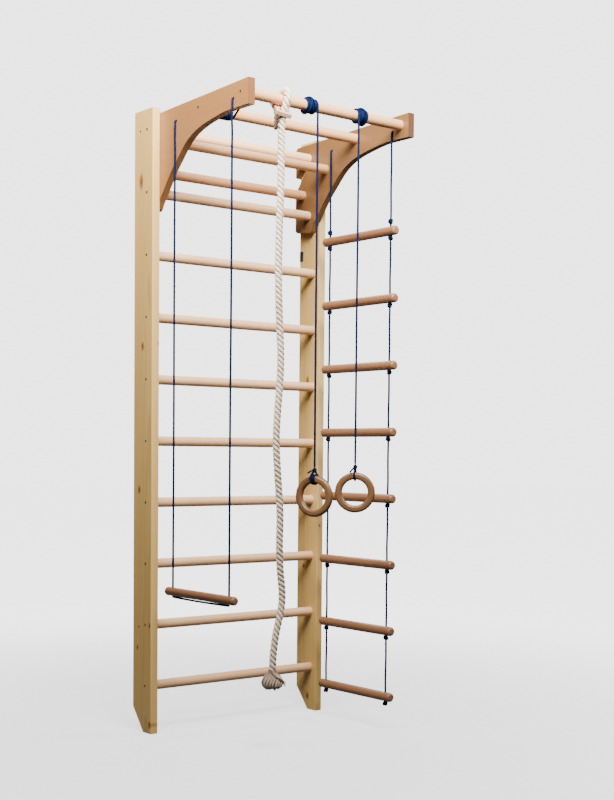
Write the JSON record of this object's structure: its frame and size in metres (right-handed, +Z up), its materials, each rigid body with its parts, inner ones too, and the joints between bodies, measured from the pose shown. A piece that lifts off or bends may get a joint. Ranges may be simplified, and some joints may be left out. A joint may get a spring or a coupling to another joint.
{
  "type": "wall bars",
  "caption": "Wooden wall bars with a pull-up frame carrying a climbing rope, hanging rings, a trapeze and a rope ladder.",
  "frame": {"origin": "where the floor meets the wall, midway between the two posts", "axes": "+X along the rungs to the ladder's side, +Y towards the wall, +Z up"},
  "size_m": [0.78, 0.6855, 2.2065],
  "materials": {
    "pine": "clear satin lacquer on pale pine",
    "beech": "clear satin lacquer on beech",
    "board": "clear satin lacquer on pine board",
    "dark_beech": "satin lacquer on brown beech",
    "ring_wood": "satin lacquer on warm brown wood",
    "screw_steel": "zinc-plated, dull",
    "dark_steel": "black, dull",
    "blue_cord": "braided cord, matt",
    "rope": "three-strand twisted rope, matt"
  },
  "bodies": {
    "wall_bars": {"left_post": "pine", "right_post": "pine", "rung_1": "beech", "rung_2": "beech", "rung_3": "beech", "rung_4": "beech", "rung_5": "beech", "rung_6": "beech", "rung_7": "beech", "rung_8": "beech", "rung_9": "beech", "rung_10": "beech", "rung_screws": "screw_steel", "left_plate": "board", "right_plate": "board", "front_bar": "beech", "middle_bar": "beech", "rear_upper_bar": "beech", "rear_lower_bar": "beech", "bar_screws": "screw_steel", "wall_hangers": "dark_steel", "left_ring_winding": "blue_cord", "right_ring_winding": "blue_cord", "trapeze_winding": "blue_cord", "ladder_anchor": "blue_cord", "ladder_cord_upper": "blue_cord"},
    "rope_sling": {"rope_loop": "rope", "rope_slider": "beech"},
    "hanging_rope": {"climbing_rope": "rope", "rope_end_knot": "rope"},
    "left_ring_line": {"left_ring_cord": "blue_cord"},
    "left_ring_grip": {"left_ring": "ring_wood", "left_ring_wrap": "blue_cord", "left_ring_knot": "blue_cord"},
    "right_ring_line": {"right_ring_cord": "blue_cord"},
    "right_ring_grip": {"right_ring": "ring_wood", "right_ring_wrap": "blue_cord", "right_ring_knot": "blue_cord"},
    "trapeze_upper_cords": {"trapeze_cord_upper": "blue_cord"},
    "trapeze": {"trapeze_cord_lower": "blue_cord", "trapeze_bar": "dark_beech"},
    "ladder_step_1": {"ladder_rung_1": "dark_beech", "ladder_cord_1": "blue_cord"},
    "ladder_step_2": {"ladder_rung_2": "dark_beech", "ladder_cord_2": "blue_cord"},
    "ladder_step_3": {"ladder_rung_3": "dark_beech", "ladder_cord_3": "blue_cord"},
    "ladder_step_4": {"ladder_rung_4": "dark_beech", "ladder_cord_4": "blue_cord"},
    "ladder_step_5": {"ladder_rung_5": "dark_beech", "ladder_cord_5": "blue_cord"},
    "ladder_step_6": {"ladder_rung_6": "dark_beech", "ladder_cord_6": "blue_cord"},
    "ladder_step_7": {"ladder_rung_7": "dark_beech", "ladder_cord_7": "blue_cord"},
    "ladder_step_8": {"ladder_rung_8": "dark_beech", "ladder_cord_8": "blue_cord"}
  },
  "joints": [
    {"name": "rope_swing", "type": "hinge", "parent": "wall_bars", "child": "rope_sling", "pos_m": [-0.194, -0.598, 2.162], "axis": [1, 0, 0], "range_deg": [-30, 12]},
    {"name": "rope_sway", "type": "hinge", "parent": "rope_sling", "child": "hanging_rope", "pos_m": [-0.194, -0.6, 2.05], "axis": [0, 1, 0], "range_deg": [-3, 4]},
    {"name": "left_ring_swing", "type": "hinge", "parent": "wall_bars", "child": "left_ring_line", "pos_m": [-0.0565, -0.6193, 2.138], "axis": [1, 0, 0], "range_deg": [-40, 18]},
    {"name": "left_ring_twist", "type": "hinge", "parent": "left_ring_line", "child": "left_ring_grip", "pos_m": [-0.0565, -0.6193, 0.958], "axis": [0, 0, 1], "range_deg": [-90, 90]},
    {"name": "right_ring_swing", "type": "hinge", "parent": "wall_bars", "child": "right_ring_line", "pos_m": [0.124, -0.6193, 2.138], "axis": [1, 0, 0], "range_deg": [-40, 18]},
    {"name": "right_ring_twist", "type": "hinge", "parent": "right_ring_line", "child": "right_ring_grip", "pos_m": [0.124, -0.6193, 0.969], "axis": [0, 0, 1], "range_deg": [-90, 90]},
    {"name": "trapeze_lift", "type": "hinge", "parent": "wall_bars", "child": "trapeze_upper_cords", "pos_m": [-0.3633, -0.38947, 2.122], "axis": [0, 1, 0], "range_deg": [0, 30]},
    {"name": "trapeze_swing", "type": "hinge", "parent": "trapeze_upper_cords", "child": "trapeze", "pos_m": [-0.3633, -0.38947, 1.994], "axis": [0, 1, 0], "range_deg": [-4, 40]},
    {"name": "ladder_swing", "type": "hinge", "parent": "wall_bars", "child": "ladder_step_1", "pos_m": [0.3307, -0.38947, 1.994], "axis": [0, -1, 0], "range_deg": [-5, 30]},
    {"name": "ladder_bend_2", "type": "hinge", "parent": "ladder_step_1", "child": "ladder_step_2", "pos_m": [0.3307, -0.38947, 1.7505], "axis": [0, -1, 0], "range_deg": [-2.5, 10]},
    {"name": "ladder_bend_3", "type": "hinge", "parent": "ladder_step_2", "child": "ladder_step_3", "pos_m": [0.3307, -0.38947, 1.5115], "axis": [0, -1, 0], "range_deg": [-2.5, 10]},
    {"name": "ladder_bend_4", "type": "hinge", "parent": "ladder_step_3", "child": "ladder_step_4", "pos_m": [0.3307, -0.38947, 1.2725], "axis": [0, -1, 0], "range_deg": [-2.5, 10]},
    {"name": "ladder_bend_5", "type": "hinge", "parent": "ladder_step_4", "child": "ladder_step_5", "pos_m": [0.3307, -0.38947, 1.0335], "axis": [0, -1, 0], "range_deg": [-2.5, 10]},
    {"name": "ladder_bend_6", "type": "hinge", "parent": "ladder_step_5", "child": "ladder_step_6", "pos_m": [0.3307, -0.38947, 0.7945], "axis": [0, -1, 0], "range_deg": [-2.5, 10]},
    {"name": "ladder_bend_7", "type": "hinge", "parent": "ladder_step_6", "child": "ladder_step_7", "pos_m": [0.3307, -0.38947, 0.5555], "axis": [0, -1, 0], "range_deg": [-2.5, 10]},
    {"name": "ladder_bend_8", "type": "hinge", "parent": "ladder_step_7", "child": "ladder_step_8", "pos_m": [0.3307, -0.38947, 0.3165], "axis": [0, -1, 0], "range_deg": [-2.5, 10]}
  ]
}
